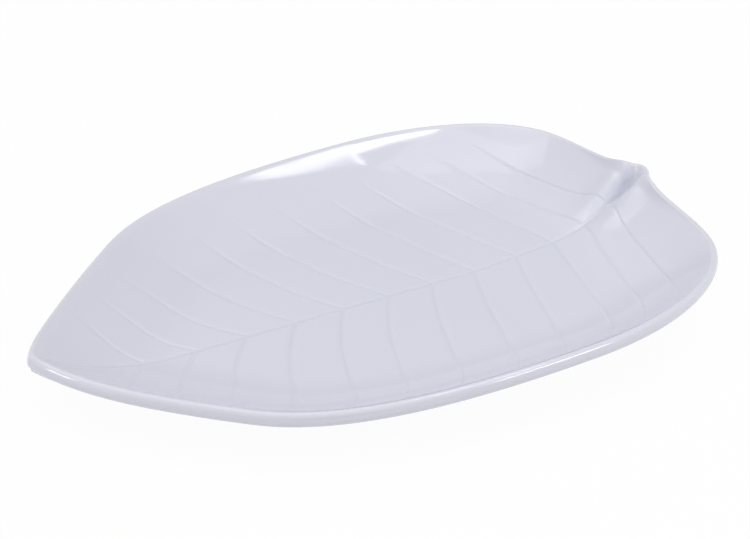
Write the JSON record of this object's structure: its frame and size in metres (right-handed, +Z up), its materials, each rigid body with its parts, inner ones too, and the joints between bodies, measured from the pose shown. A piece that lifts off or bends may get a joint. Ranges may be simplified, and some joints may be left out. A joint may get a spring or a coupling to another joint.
{
  "type": "leaf shaped plate",
  "caption": "Leaf-shaped serving dish with a pointed tip, pinched stem end, swept walls, rolled lip and pressed veins, on a foot ring.",
  "frame": {"origin": "on the plane that the foot ring stands on, below the centre of the plate's length and width", "axes": "+X along the midrib from the tip to the stem, +Y across the leaf, +Z up"},
  "size_m": [0.3024, 0.216, 0.0392],
  "materials": {
    "glazed_dish": "clear gloss glaze over a pale lilac-white body",
    "bare_foot": "unglazed and ground flat"
  },
  "bodies": {
    "root": {"leaf_dish": "glazed_dish", "foot_ring": "bare_foot"}
  },
  "joints": []
}
